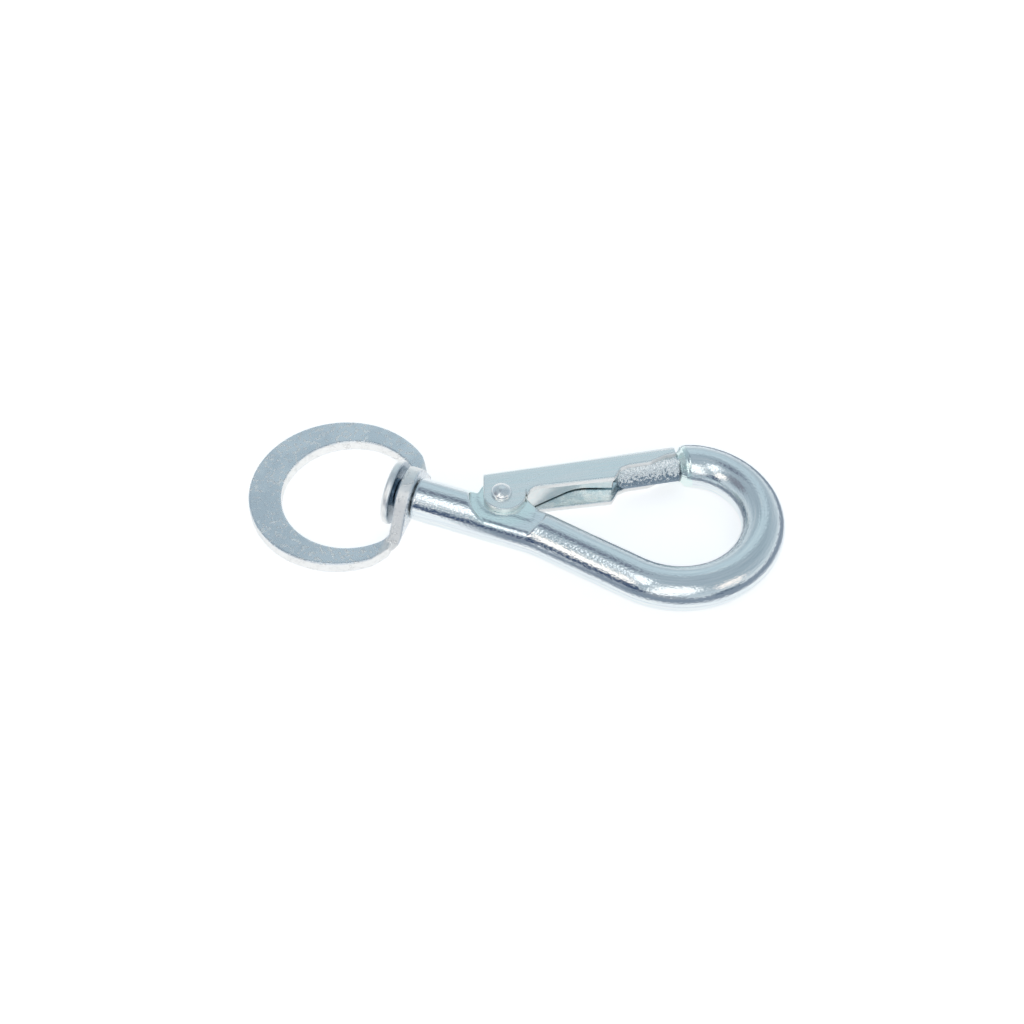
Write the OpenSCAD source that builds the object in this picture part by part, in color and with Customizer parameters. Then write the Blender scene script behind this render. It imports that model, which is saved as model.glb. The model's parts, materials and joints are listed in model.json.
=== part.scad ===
// Swivel snap hook, bent from round bar, with a folded sheet gate, a leaf spring
// and a stamped eye that swivels on the hook's riveted neck.
// Origin: centre of the eye, on the surface the hook lies on. +X runs along the shank
// to the bow, +Y to the gate's side, +Z up. All sizes are in millimetres.

/* [Hook bar] */
// Diameter of the round bar
bar_d = 8; // [7.4:0.1:8.6]
// From the shoulder to the knee, where the long arm leaves the shank's line
knee_x = 23.3; // [22.5:0.1:25]
// Bend radius of the knee
knee_r = 20; // [12:1:28]
// Angle between the shank and the long arm
arm_angle = 10.4; // [9:0.1:12]
// Length of the long arm, from the knee to the bow
arm_len = 19.1; // [17:0.1:24]
// Centreline radius of the bow's first arc
bow_r = 16; // [15.6:0.1:17]
// How far the first arc turns
bow_turn = 103; // [102.5:0.5:106]
// Centreline radius of the bow's second arc, towards the nose
nose_r = 12.9; // [12.4:0.1:13.4]
// Centreline radius of the short bend just before the nose
tight_r = 7; // [6.4:0.1:8]
// How far the short bend turns
tight_turn = 20; // [16:1:24]

/* [Nose] */
// Diameter of the tenon that the gate closes over
tenon_d = 5; // [4.4:0.1:5.2]
// Length of the tenon past its shoulder, with its rounded tip
tenon_len = 13; // [11:0.1:13.4]
// Length of the conical shoulder between the bar and the tenon
cone_len = 1.2; // [0.6:0.1:1.6]
// Radius of the tenon's rounded tip
tip_round = 1.8; // [1:0.1:2]
// Height of the tenon's axis above the rivet, square to the gate
tenon_rise = 3.1; // [2.9:0.1:3.2]

/* [Ear] */
// Thickness of the pressed ear that carries the rivet
ear_t = 5.6; // [5:0.1:6]
// From the shoulder to the rivet, along the shank
pivot_x = 14.8; // [14:0.1:15.6]
// From the shank's axis to the rivet
pivot_y = 3.5; // [3.2:0.1:3.8]
// Radius of the press mark round the ear
press_r = 5.9; // [5.7:0.1:6.2]
// From the shoulder to the far end of the press mark
press_end = 23.6; // [23:0.1:24.4]

/* [Head and neck] */
// Diameter of the riveted head inside the eye
head_d = 12; // [10:0.1:12.2]
// Thickness of the head at its rim
head_t = 1.4; // [1:0.1:2]
// Height of the low dome on the head
head_dome = 0.5; // [0.2:0.1:0.8]
// Diameter of the neck that turns in the tab
neck_d = 5.2; // [4.4:0.1:6]
// Gap between the head and the tab, so that the eye swivels freely
head_gap = 0.9; // [0.3:0.1:1.4]
// Gap between the tab and the hook's shoulder
shoulder_gap = 0.2; // [0.1:0.05:0.6]
// Running clearance round the neck, on the radius
neck_clear = 0.08; // [0.03:0.01:0.1]

/* [Swivel eye] */
// Thickness of the stamped plate
plate_t = 2.5; // [2:0.1:3]
// Diameter of the eye
eye_d = 25.4; // [25:0.1:30]
// Width of the eye's band at its sides
band_w = 4.4; // [4:0.1:6]
// How much wider the band is at the far end
band_extra = 1.8; // [0:0.1:2.5]
// How far the folded tab cuts into the eye's circle
eye_flat = 1.9; // [1.6:0.1:2.4]
// Inner radius of the tab's fold
fold_r = 1.5; // [1:0.1:2]
// Radius of the tab's round top, about the swivel axis
tab_r = 5.4; // [4.8:0.1:6]
// Half width of the tab's tapered foot, at the plate's underside
foot_w = 9.7; // [9:0.1:10.4]
// Height of the swivel axis above the plate's top face
axis_rise = 3.75; // [3.4:0.05:4]

/* [Gate] */
// Thickness of the folded sheet
gate_t = 1.2; // [0.8:0.1:1.3]
// Gap between the gate's flanges and the flat ear, on each side
flange_gap = 0.05; // [0.03:0.01:0.15]
// Height of the gate's back above the rivet
back_h = 5.7; // [5.6:0.1:6]
// Outer radius of the fold between the back and a flange
gate_bend = 1.8; // [1.4:0.1:2.2]
// Radius of the round lobe at the rivet
lobe_r = 3.9; // [3.4:0.1:4]
// How far the lobe's centre lies ahead of the rivet
lobe_shift = 0.5; // [0:0.1:0.6]
// How far the square heel lies behind the rivet, at the back
heel = 2.2; // [2:0.1:2.8]
// Height of the flanges' free edge above the rivet, along the gate
edge_h = 0.4; // [0.2:0.1:0.9]
// How much lower the free edge runs at the tenon's tip
edge_fall = 0.6; // [0:0.1:0.8]
// How far the flanges reach below the tenon's axis
cover = 0.85; // [0.4:0.05:1.2]
// Radius of the notch between the lobe and the free edge
notch_r = 2.5; // [1.8:0.1:2.8]
// Gap between the gate's end and the nose's shoulder
end_gap = 0.6; // [0.4:0.1:1]
// Gap round the tenon in the slot of the gate's back
slot_gap = 0.15; // [0.1:0.05:0.2]
// Gap between the gate's back and the ear, where the gate stops
stop_gap = 0.1; // [0.08:0.01:0.2]

/* [Rivet] */
// Diameter of the rivet's pin
pin_d = 3; // [2.6:0.1:3.4]
// Running clearance round the pin, on the radius
pin_clear = 0.05; // [0.03:0.01:0.1]
// Diameter of the rivet's heads
rivet_d = 3.8; // [3.6:0.1:4.4]
// Height of the rim of each head
rivet_rim = 0.5; // [0.3:0.1:0.8]
// Height of the dome on each head
rivet_dome = 0.8; // [0.5:0.1:1]

/* [Leaf spring] */
// Thickness of the spring strip
leaf_t = 0.6; // [0.4:0.1:0.7]
// Width of the strip
leaf_w = 4.6; // [4:0.1:5.2]
// How deep the strip sits in the ear's slot
leaf_seat = 1; // [0.6:0.1:1.2]
// Clearance round the strip in its slot
leaf_clear = 0.05; // [0.02:0.01:0.1]
// Gap between the strip's crest and the gate's back
crest_gap = 0.4; // [0.1:0.05:0.6]
// Distance of the crest ahead of the rivet
crest_x = 15.5; // [14.5:0.1:17]
// Radius of the crest
crest_r = 9; // [6:0.5:10]
// Slope of the strip's free end
tip_slope = 10; // [8:1:22]

/* [Hidden] */
$fn = 64;
// The reach of a shape that cuts, and how far it stands out past what it cuts
big = 60;
over = 1;
bar_r = bar_d / 2;
// The bar's straight lengths and bends meet in seams: how far a seam stands proud of the bar,
// and how far each length stops short inside it
seam_proud = 0.01;
seam_inset = 0.05;

function unit(a) = [cos(a), sin(a)];
function left(a) = [-sin(a), cos(a)];
function turned(p, a) = [p[0] * cos(a) - p[1] * sin(a), p[0] * sin(a) + p[1] * cos(a)];
// Points on an arc about c, from angle a to angle b
function arc(c, r, a, b, n) = [for (i = [0 : n]) c + r * unit(a + (b - a) * i / n)];

// The hook's centreline, in the shank's own frame: x from the shoulder, y to the gate
knee_cut = knee_r * tan(arm_angle / 2);
arm_start = [knee_x, 0] + knee_cut * unit(-arm_angle);
arm_end = [knee_x, 0] + arm_len * unit(-arm_angle);
bow_c = arm_end + bow_r * left(-arm_angle);
bow_dir = bow_turn - arm_angle;
bow_end = bow_c - bow_r * left(bow_dir);
nose_c = bow_end + nose_r * left(bow_dir);
pivot = [pivot_x, pivot_y];
// The gate lies along the tenon, whose axis passes tenon_rise above the rivet
to_nose = nose_c - pivot;
nose_rise = tight_r + (nose_r - tight_r) * cos(tight_turn) - tenon_rise;
gate_angle = atan2(to_nose[1], to_nose[0]) + asin(nose_rise / norm(to_nose));
tight_dir = gate_angle + 180 - tight_turn;
tight_c = nose_c - (nose_r - tight_r) * left(tight_dir);
shoulder_x = turned(tight_c - pivot, -gate_angle)[0];
tip_x = shoulder_x - tenon_len;

// The hook lies with its bow on the table, so the shank leans a little
axis_z = plate_t + axis_rise;
reach = bow_c[0] + bow_r;
lean = asin((axis_z - bar_r) / reach);
tab_x = eye_d / 2 - eye_flat;
neck_len = plate_t + shoulder_gap + head_gap;
shoulder = [tab_x + plate_t + shoulder_gap, 0, axis_z];

// The low dome on the head: how far its foot and its top stand in from the rim
dome_foot = 0.4;
dome_top = 2.2;

// The lip that forming the tenon pushes up at its shoulder, and how deep it reaches in the bar
lip = 0.12;
lip_back = 0.6;

// The press mark: the centre of its round part, and its slanted far end
press_c = pivot + [0.4, -0.5];
press_slant = 4.4;
press_corner = 0.6;

// The gate's sheet, in the gate's frame: x along the gate from the rivet, y outward
flange_in = ear_t / 2 + flange_gap;
gate_w = 2 * (flange_in + gate_t);
back_in = back_h - gate_t;
cam_r = back_in - stop_gap;
gate_end = shoulder_x - cone_len - end_gap;
slot_w = tenon_d + 2 * slot_gap;
slot_lead = 1.4;
slot_start = tip_x - slot_lead;
// The flanges' free edge: its height over the tenon, where and how it steps up at the
// tenon's tip, and its rise near the gate's end
over_tenon = tenon_rise - cover;
step_x = tip_x - 0.9;
step_lead = 0.4;
step_run = 1.2;
step_ease = 0.55;
rise_foot = 5;
rise_top = 1.8;
end_rise = 1.1;
// The ear: the length of its flat stop and how far it laps the cam, how much its edge is eased,
// and where its far end at the knee and its corner before the rivet lie
stop_len = heel - 0.2;
stop_lap = 0.6;
ear_ease = 0.6;
ear_inset = 1.5;
ear_drop = 0.6;
brow_inset = 0.4;
brow_rise = 1.6;
ear_end = [knee_x - ear_inset, bar_r - ear_drop];
ear_brow = pivot + [cam_r - brow_inset, brow_rise];
lobe_c = [lobe_shift, 0];
notch_c = [lobe_shift + lobe_r + notch_r, edge_h - notch_r];

// The eye's plate
outer_r = eye_d / 2 + band_w;
fold_x = shoulder[0] - (fold_r + plate_t + shoulder_gap + (axis_rise - fold_r) * sin(lean)) / cos(lean);
// The tab's sides run from its round top to its foot, as tangents. Their direction, and the
// half width at the plate's top face
foot_low = axis_rise + plate_t;
side_turn = acos(tab_r / norm([foot_w, foot_low])) - atan2(foot_low, foot_w);
foot_top = (tab_r + axis_rise * sin(side_turn)) / cos(side_turn);
// The plate's corners beside the tab: how far they lap its foot, how far they reach past the
// start of the fold, and their cut
corner_lap = 0.3;
corner_end = fold_x + 2.2;
corner_cut = 2.8;

// The leaf spring, in the gate's frame
crest_y = back_in - crest_gap - leaf_t / 2;
root_rise = 0.2;
root = [cam_r - leaf_seat, root_rise];
crest_c = [crest_x, crest_y - crest_r];
root_off = root - crest_c;
root_slope = atan2(root_off[1], root_off[0]) - 180 + asin(crest_r / norm(root_off));
leaf_short = 0.7;
leaf_end = tip_x - leaf_short;

// The rivet's domes rise in two slopes
dome_mid = rivet_d * 0.62;
dome_tip = rivet_d * 0.26;
dome_low = rivet_dome * 0.6;

module hook_frame() {
    translate(shoulder) rotate([0, lean, 0]) children();
}

module gate_frame() {
    hook_frame() translate([pivot[0], pivot[1], 0]) rotate([0, 0, gate_angle]) children();
}

// A straight length of bar from p, towards angle a. Its ends stop inside the seams
module bar_length(p, a, l) {
    translate([p[0], p[1], 0]) rotate([0, 0, a]) translate([seam_inset, 0, 0]) rotate([0, 90, 0])
        cylinder(r = bar_r, h = l - 2 * seam_inset);
}

// A bent length of bar: from angle a, turning by t about c. Its ends stop inside the seams
module bar_bend(c, r, a, t) {
    short = sign(t) * seam_inset / r * 180 / PI;
    translate([c[0], c[1], 0]) rotate([0, 0, a + short])
        rotate_extrude(angle = t - 2 * short, $fn = 96) translate([r, 0]) circle(r = bar_r, $fn = 64);
}

// A ball at p, a hair larger than the bar, that joins two lengths of it into one solid
module seam(p, a) {
    translate([p[0], p[1], 0]) rotate([0, 0, a]) rotate([0, 90, 0]) sphere(r = bar_r + seam_proud);
}

// A round length along x between two radii
module turned_length(x, r1, r2, l) {
    translate([x, 0, 0]) rotate([0, 90, 0]) cylinder(r1 = r1, r2 = r2, h = l);
}

// The neck and its riveted head, which hold the eye
module neck() {
    head_x = -neck_len - head_t;
    turned_length(-neck_len, neck_d / 2, neck_d / 2, neck_len);
    turned_length(head_x, head_d / 2, head_d / 2, head_t);
    turned_length(head_x - head_dome, head_d / 2 - dome_top, head_d / 2 - dome_foot, head_dome);
}

// The tenon, with its cone and lip at the bar and its round tip
module tenon() {
    pin_len = tenon_len - cone_len;
    translate([pivot[0], pivot[1], 0]) rotate([0, 0, gate_angle]) translate([0, tenon_rise, 0]) {
        turned_length(shoulder_x - cone_len, tenon_d / 2, bar_r + lip, cone_len);
        turned_length(shoulder_x, bar_r + lip, bar_r - lip_back, lip + lip_back);
        translate([shoulder_x - cone_len, 0, 0]) rotate([0, -90, 0]) rotate_extrude() {
            square([tenon_d / 2, pin_len - tip_round]);
            square([tenon_d / 2 - tip_round, pin_len]);
            translate([tenon_d / 2 - tip_round, pin_len - tip_round]) intersection() {
                circle(r = tip_round);
                square(tip_round);
            }
        }
    }
}

// Plan of the two press marks that flatten the bar to the ear's thickness
module press_plan() {
    translate(press_c) circle(r = press_r);
    polygon([
        [press_c[0], -bar_d],
        [press_end - press_slant, -bar_d],
        [press_end, press_corner],
        [press_end, bar_d],
        [press_c[0], bar_d]
    ]);
}

// The ear: a cam round the rivet, with a short flat that stops the gate. Its edge is eased,
// so that it clears the fold inside the gate
module ear() {
    stop_start = pivot + turned([-stop_len, cam_r], gate_angle);
    stop_end = pivot + turned([stop_lap, cam_r], gate_angle);
    core = ear_t / 2 - ear_ease;
    linear_extrude(height = ear_t, center = true)
        polygon([pivot, [pivot_x, 0], [ear_end[0], 0], ear_end, ear_brow]);
    translate([pivot_x, pivot_y, 0]) cylinder(r = cam_r, h = 2 * core, center = true);
    linear_extrude(height = 2 * core, center = true)
        polygon([stop_start, [stop_start[0], 0], [pivot_x, 0], pivot, stop_end]);
    for (side = [0, 1]) mirror([0, 0, side])
        translate([pivot_x, pivot_y, core]) cylinder(r1 = cam_r, r2 = cam_r - ear_ease, h = ear_ease);
}

module hook_bar() {
    color([0.72, 0.77, 0.80]) hook_frame() {
        difference() {
            union() {
                difference() {
                    union() {
                        turned_length(0, bar_r, bar_r, knee_x - knee_cut - seam_inset);
                        seam([knee_x - knee_cut, 0], 0);
                        bar_bend([knee_x - knee_cut, -knee_r], knee_r, 90, -arm_angle);
                    }
                    for (side = [-1, 1])
                        translate([0, 0, side * (ear_t / 2 + bar_r)])
                            linear_extrude(height = 2 * bar_r, center = true) press_plan();
                }
                ear();
            }
            translate([pivot[0], pivot[1], 0]) {
                cylinder(r = pin_d / 2 + pin_clear, h = big, center = true);
                rotate([0, 0, gate_angle]) leaf_slot();
            }
        }
        seam(arm_start, -arm_angle);
        bar_length(arm_start, -arm_angle, arm_len - knee_cut);
        seam(arm_end, -arm_angle);
        bar_bend(bow_c, bow_r, -90 - arm_angle, bow_turn);
        seam(bow_end, bow_dir);
        bar_bend(nose_c, nose_r, bow_dir - 90, tight_dir - bow_dir);
        seam(tight_c + tight_r * unit(tight_dir - 90), tight_dir);
        bar_bend(tight_c, tight_r, tight_dir - 90, tight_turn);
        tenon();
        neck();
    }
}

// The slot in the ear that holds the strip's root
module leaf_slot() {
    translate([root[0], root[1], 0]) rotate([0, 0, root_slope])
        translate([0, -leaf_t / 2 - leaf_clear, -big / 2])
            cube([big / 4, leaf_t + 2 * leaf_clear, big]);
}

// Outline of the folded plate, seen from the side: flat, fold, and tab
module fold_profile() {
    fold_c = [fold_x, plate_t + fold_r];
    translate(fold_c) difference() {
        intersection() {
            circle(r = fold_r + plate_t);
            polygon([[0, 0], [0, -big], [big, -big], big * unit(-lean)]);
        }
        circle(r = fold_r);
    }
    translate(fold_c) rotate(-lean) translate([fold_r, 0]) square([plate_t, axis_rise + tab_r]);
}

// Outline of the tab, seen along the swivel axis: a round top on a foot that widens
module tab_front() {
    circle(r = tab_r);
    polygon([
        tab_r * unit(side_turn),
        [foot_w, -foot_low],
        [foot_w, -foot_low - plate_t],
        [-foot_w, -foot_low - plate_t],
        [-foot_w, -foot_low],
        tab_r * unit(180 - side_turn)
    ]);
}

// What is left of the round blank on the hook's side: two cut corners beside the tab
module plate_plan() {
    inner = foot_top - corner_lap;
    half = [
        [corner_end, inner],
        [corner_end, foot_w],
        [corner_end - corner_cut / 2, foot_w + corner_cut],
        [corner_end - corner_cut, big]
    ];
    for (side = [0, 1]) mirror([0, side])
        polygon(concat([[-big, -over], [fold_x, -over], [fold_x, inner]], half, [[-big, big]]));
}

module swivel_ring() {
    color([0.70, 0.76, 0.80]) difference() {
        union() {
            intersection() {
                translate([-band_extra, 0, 0]) cylinder(r = outer_r, h = plate_t, $fn = 128);
                translate([0, 0, -over]) linear_extrude(height = plate_t + 2 * over) plate_plan();
            }
            intersection() {
                rotate([90, 0, 0]) linear_extrude(height = big, center = true) fold_profile();
                translate(shoulder) rotate([0, lean, 0]) translate([-big / 2, 0, 0]) rotate([90, 0, 90])
                    linear_extrude(height = big) tab_front();
            }
        }
        intersection() {
            translate([0, 0, -over]) cylinder(d = eye_d, h = big, $fn = 128);
            translate([-big, -big / 2, -over]) cube([big + tab_x, big, big]);
        }
        translate(shoulder) rotate([0, lean, 0]) rotate([0, 90, 0])
            cylinder(r = neck_d / 2 + neck_clear, h = 2 * (neck_len + over), center = true);
    }
}

// Section of the gate's channel: back at +x, flanges at each side in y
module channel_section() {
    inner_bend = gate_bend - gate_t;
    difference() {
        rounded_end(back_h, gate_w / 2, gate_bend);
        rounded_end(back_in, flange_in, inner_bend);
    }
}

// A slab from far below up to x = top, with both top corners rounded
module rounded_end(top, half, r) {
    translate([-big, -half]) square([top + big - r, 2 * half]);
    translate([-big, r - half]) square([top + big, 2 * (half - r)]);
    for (side = [-1, 1])
        translate([top - r, side * (half - r)]) circle(r = r);
}

// Outline of the gate's flanges
module flange_plan() {
    polygon(concat(
        [[gate_end, big], [-heel, big], [-heel, back_h]],
        arc(lobe_c, lobe_r, 190, 357, 28),
        arc(notch_c, notch_r, 178, 92, 12),
        [
            [step_x - step_lead, edge_h - edge_fall],
            [step_x + step_run, over_tenon - step_ease],
            [step_x + 2.5 * step_run, over_tenon],
            [gate_end - rise_foot, over_tenon],
            [gate_end - rise_top, over_tenon + end_rise],
            [gate_end, over_tenon + end_rise]
        ]
    ));
}

module gate() {
    color([0.66, 0.74, 0.79]) gate_frame() difference() {
        intersection() {
            linear_extrude(height = gate_w + over, center = true) flange_plan();
            translate([-big, 0, 0]) rotate([90, 0, 90]) linear_extrude(height = 2 * big) channel_section();
        }
        translate([slot_start, back_in - gate_bend, -slot_w / 2]) cube([big, big, slot_w]);
        cylinder(d = pin_d, h = big, center = true);
    }
}

module rivet_head() {
    translate([0, 0, gate_w / 2]) {
        cylinder(d = rivet_d, h = rivet_rim);
        translate([0, 0, rivet_rim]) cylinder(d1 = rivet_d, d2 = dome_mid, h = dome_low);
        translate([0, 0, rivet_rim + dome_low]) cylinder(d1 = dome_mid, d2 = dome_tip, h = rivet_dome - dome_low);
    }
}

module gate_rivet() {
    color([0.78, 0.82, 0.84]) gate_frame() {
        cylinder(d = pin_d, h = gate_w, center = true);
        rivet_head();
        mirror([0, 0, 1]) rivet_head();
    }
}

module gate_spring() {
    up = leaf_t / 2;
    fall = crest_c + crest_r * left(-tip_slope);
    tip = fall + (leaf_end - fall[0]) / cos(tip_slope) * unit(-tip_slope);
    color([0.75, 0.79, 0.82]) gate_frame() linear_extrude(height = leaf_w, center = true) polygon(concat(
        [root - up * left(root_slope), root + up * left(root_slope)],
        arc(crest_c, crest_r + up, 90 + root_slope, 90 - tip_slope, 16),
        [tip + up * left(-tip_slope), tip - up * left(-tip_slope)],
        arc(crest_c, crest_r - up, 90 - tip_slope, 90 + root_slope, 16)
    ));
}

hook_bar();
swivel_ring();
gate();
gate_rivet();
gate_spring();
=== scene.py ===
# %% [markdown]
# A swivel snap hook of bright zinc-plated steel, lying on a pale surface. It is a round bar bent
# into a hook, a gate folded from sheet, a stamped eye that turns on the bar's riveted neck, a
# rivet and a small leaf spring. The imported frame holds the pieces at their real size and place,
# and this lesson gives each of them its soft edges and its finish.

import json
import math

import bpy
import numpy as np
from mathutils import Matrix, Vector


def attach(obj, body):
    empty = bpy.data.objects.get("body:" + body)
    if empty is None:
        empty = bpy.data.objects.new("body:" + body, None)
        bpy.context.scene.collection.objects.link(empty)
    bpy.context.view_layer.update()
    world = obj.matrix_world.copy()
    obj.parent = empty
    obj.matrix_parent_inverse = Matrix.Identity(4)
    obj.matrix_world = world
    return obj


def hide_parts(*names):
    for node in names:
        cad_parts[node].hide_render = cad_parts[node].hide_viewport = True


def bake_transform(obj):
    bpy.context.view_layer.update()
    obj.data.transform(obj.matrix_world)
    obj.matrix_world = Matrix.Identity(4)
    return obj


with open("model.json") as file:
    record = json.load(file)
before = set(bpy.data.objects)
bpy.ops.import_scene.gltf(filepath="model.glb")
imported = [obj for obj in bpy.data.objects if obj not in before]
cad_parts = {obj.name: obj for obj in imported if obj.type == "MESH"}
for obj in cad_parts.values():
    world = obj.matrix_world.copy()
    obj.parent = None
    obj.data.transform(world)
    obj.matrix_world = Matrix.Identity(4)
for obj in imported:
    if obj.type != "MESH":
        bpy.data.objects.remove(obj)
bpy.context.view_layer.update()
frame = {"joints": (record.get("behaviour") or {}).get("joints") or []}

# %% [markdown]
# The picture was taken from above and in front, with the eye to the left. The camera below stands
# about 31 cm off, because the hook shows some perspective: its near side is drawn a little larger.
# A lens of 60 mm gives that at the size of the picture.

# %% Camera
AIM = Vector((0.0304, 0.0035, 0.005))  # the middle of the picture, in metres
AZIMUTH, ELEVATION, ROLL = 19.466, 51.020, 0.442  # in degrees
DISTANCE = 0.30895  # in metres
LENS = 60.05  # in mm


def place_camera():
    """Makes the camera, looking at AIM from the given angles."""
    a, e = math.radians(AZIMUTH), math.radians(ELEVATION)
    back = Vector((math.sin(a) * math.cos(e), -math.cos(a) * math.cos(e), math.sin(e)))
    data = bpy.data.cameras.new("camera")
    data.lens = LENS
    data.clip_start = 0.01
    data.clip_end = 10
    camera = bpy.data.objects.new("camera", data)
    bpy.context.scene.collection.objects.link(camera)
    turn = Matrix.Rotation(math.radians(ROLL), 4, -back)
    camera.matrix_world = turn @ (-back).to_track_quat("-Z", "Y").to_matrix().to_4x4()
    camera.location = AIM + DISTANCE * back
    bpy.context.scene.camera = camera
    return camera


camera = place_camera()
print("camera at", [round(x, 4) for x in camera.location])

# %% [markdown]
# A world or a material in Blender is a tree of nodes, joined by links. The helpers below each add
# one node, join it up and hand back its output, so that the trees further down read as recipes.

# %% Node helpers
def node(tree, kind, **settings):
    """Adds a node and sets its properties."""
    made = tree.nodes.new(kind)
    for key, value in settings.items():
        setattr(made, key, value)
    return made


def link(tree, source, target):
    tree.links.new(source, target)


def feed(tree, value, socket):
    """Gives a socket its value: another node's output, a colour or a number."""
    if isinstance(value, bpy.types.NodeSocket):
        link(tree, value, socket)
    elif isinstance(value, tuple):
        socket.default_value = (*value, 1)
    else:
        socket.default_value = value


def math_node(tree, operation, a, b=0.0):
    """One sum, product or the like of two outputs or numbers."""
    made = node(tree, "ShaderNodeMath", operation=operation)
    feed(tree, a, made.inputs[0])
    feed(tree, b, made.inputs[1])
    return made.outputs[0]


def plus(tree, a, b):
    return math_node(tree, "ADD", a, b)


def times(tree, a, b):
    return math_node(tree, "MULTIPLY", a, b)


def split(tree, vector):
    """The x, y and z of a vector."""
    made = node(tree, "ShaderNodeSeparateXYZ")
    link(tree, vector, made.inputs[0])
    return made.outputs


def grey(x):
    return (x, x, x)


def ramp(tree, value, stops, smooth=True):
    """A colour ramp from (place, colour) pairs."""
    made = node(tree, "ShaderNodeValToRGB")
    made.color_ramp.interpolation = "EASE" if smooth else "LINEAR"
    elements = made.color_ramp.elements
    while len(elements) < len(stops):
        elements.new(0.5)
    for element, (place, colour) in zip(elements, stops):
        element.position = place
        element.color = (*colour, 1)
    link(tree, value, made.inputs[0])
    return made.outputs[0]


def mix_colour(tree, share, a, b):
    """Mixes two colours, or two grey values, by a share from 0 to 1."""
    made = node(tree, "ShaderNodeMix", data_type="RGBA")
    for value, place in ((share, 0), (a, 6), (b, 7)):
        feed(tree, value, made.inputs[place])
    return made.outputs[2]

# %% [markdown]
# Bare metal shows its surroundings more than its own colour, so they are settled first. On a
# product table two big soft lights stand in front, left and right, with a dark shape at the
# camera between them, and the ceiling above is a cool grey. The world draws that: each patch is
# an ellipsoid laid over the sphere of directions, bright or dark, with a soft edge.

# %% World
CEILING = [
    # height from the horizon to straight up, colour
    (0.00, (0.86, 0.90, 0.93)),
    (0.12, (0.68, 0.75, 0.79)),
    (0.40, (0.46, 0.54, 0.60)),
    (0.75, (0.36, 0.44, 0.50)),
    (1.00, (0.40, 0.47, 0.53)),
]
PATCHES = [
    # name, direction, half sizes across, deep and high, colour
    ("back wall", (-0.16, 0.74, 0.66), (0.40, 0.40, 0.36), (0.54, 0.65, 0.71)),
    ("dark left", (-0.66, -0.28, 0.70), (0.34, 0.34, 0.32), (0.24, 0.26, 0.31)),
    ("dark beam", (-0.19, 0.20, 0.96), (0.13, 0.20, 0.24), (0.16, 0.19, 0.25)),
    ("front horizon", (0.05, -1.00, 0.00), (0.90, 0.50, 0.26), (0.30, 0.33, 0.38)),
    ("right light", (0.33, -0.67, 0.66), (0.36, 0.42, 0.44), (1.22, 1.23, 1.23)),
    ("low right light", (0.16, -0.90, 0.42), (0.26, 0.30, 0.28), (1.18, 1.18, 1.18)),
    ("far right light", (0.84, -0.24, 0.48), (0.26, 0.28, 0.26), (1.12, 1.03, 0.98)),
    ("left light", (-0.40, -0.72, 0.57), (0.20, 0.28, 0.30), (1.36, 1.25, 1.17)),
    ("top light", (-0.14, -0.45, 0.88), (0.14, 0.40, 0.34), (1.40, 1.42, 1.43)),
    ("dark at the camera", (-0.30, -0.93, 0.18), (0.25, 0.30, 0.27), (0.05, 0.08, 0.15)),
    ("dark right", (0.90, -0.42, -0.02), (0.34, 0.34, 0.22), (0.10, 0.14, 0.20)),
]
PATCH_EDGE = 0.42


def patch_mask(tree, place, direction, half_sizes):
    """1 in the middle of an ellipsoid over the directions, falling softly to 0 at its rim."""
    mapping = node(tree, "ShaderNodeMapping", vector_type="TEXTURE")
    link(tree, place, mapping.inputs["Vector"])
    mapping.inputs["Location"].default_value = Vector(direction).normalized()
    mapping.inputs["Scale"].default_value = half_sizes
    ball = node(tree, "ShaderNodeTexGradient", gradient_type="SPHERICAL")
    link(tree, mapping.outputs["Vector"], ball.inputs["Vector"])
    return ramp(tree, ball.outputs["Fac"], [(0.0, grey(0)), (PATCH_EDGE, grey(1))])


def make_world():
    """Draws the ceiling and the patches. The camera itself sees plain white."""
    world = bpy.data.worlds.new("studio")
    bpy.context.scene.world = world
    world.use_nodes = True
    tree = world.node_tree
    tree.nodes.clear()
    place = node(tree, "ShaderNodeTexCoord").outputs["Generated"]
    colour = ramp(tree, split(tree, place)[2], CEILING, smooth=False)
    for name, direction, half_sizes, patch_colour in PATCHES:
        mask = patch_mask(tree, place, direction, half_sizes)
        colour = mix_colour(tree, mask, colour, patch_colour)
    seen = node(tree, "ShaderNodeLightPath").outputs["Is Camera Ray"]
    colour = mix_colour(tree, seen, colour, grey(1.0))
    background = node(tree, "ShaderNodeBackground")
    link(tree, colour, background.inputs[0])
    output = node(tree, "ShaderNodeOutputWorld")
    link(tree, background.outputs[0], output.inputs[0])


make_world()
bpy.context.scene.view_settings.view_transform = "Standard"
print("world patches:", [patch[0] for patch in PATCHES])

# %% [markdown]
# The floor is a plain pale sheet. To the camera it also glows a little, so the background stays
# white while the shadow under the hook stays. In the metal it looks white from above. On the
# right, in front of the arm and the bow, it is darker at a grazing angle, as a smooth table is
# where it mirrors the dark room.

# %% Floor
FLOOR_HALF = 1.5  # half its side, in metres
FLOOR_COLOUR = (0.86, 0.87, 0.88)
FLOOR_GLOW = 0.56  # as the camera sees it
MIRRORED_COLOUR = (0.36, 0.37, 0.38)  # as the metal sees it
MIRRORED_GLOW = 0.76
MIRRORED_DARK = (0.05, 0.08, 0.14)  # its glow at a grazing angle
GRAZING_FROM, GRAZING_TO = 0.42, 0.60
DARK_FROM, DARK_TO = 0.022, 0.034  # where its right side starts, in metres
DARK_SLANT = -0.2857  # and how that line slants


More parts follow.
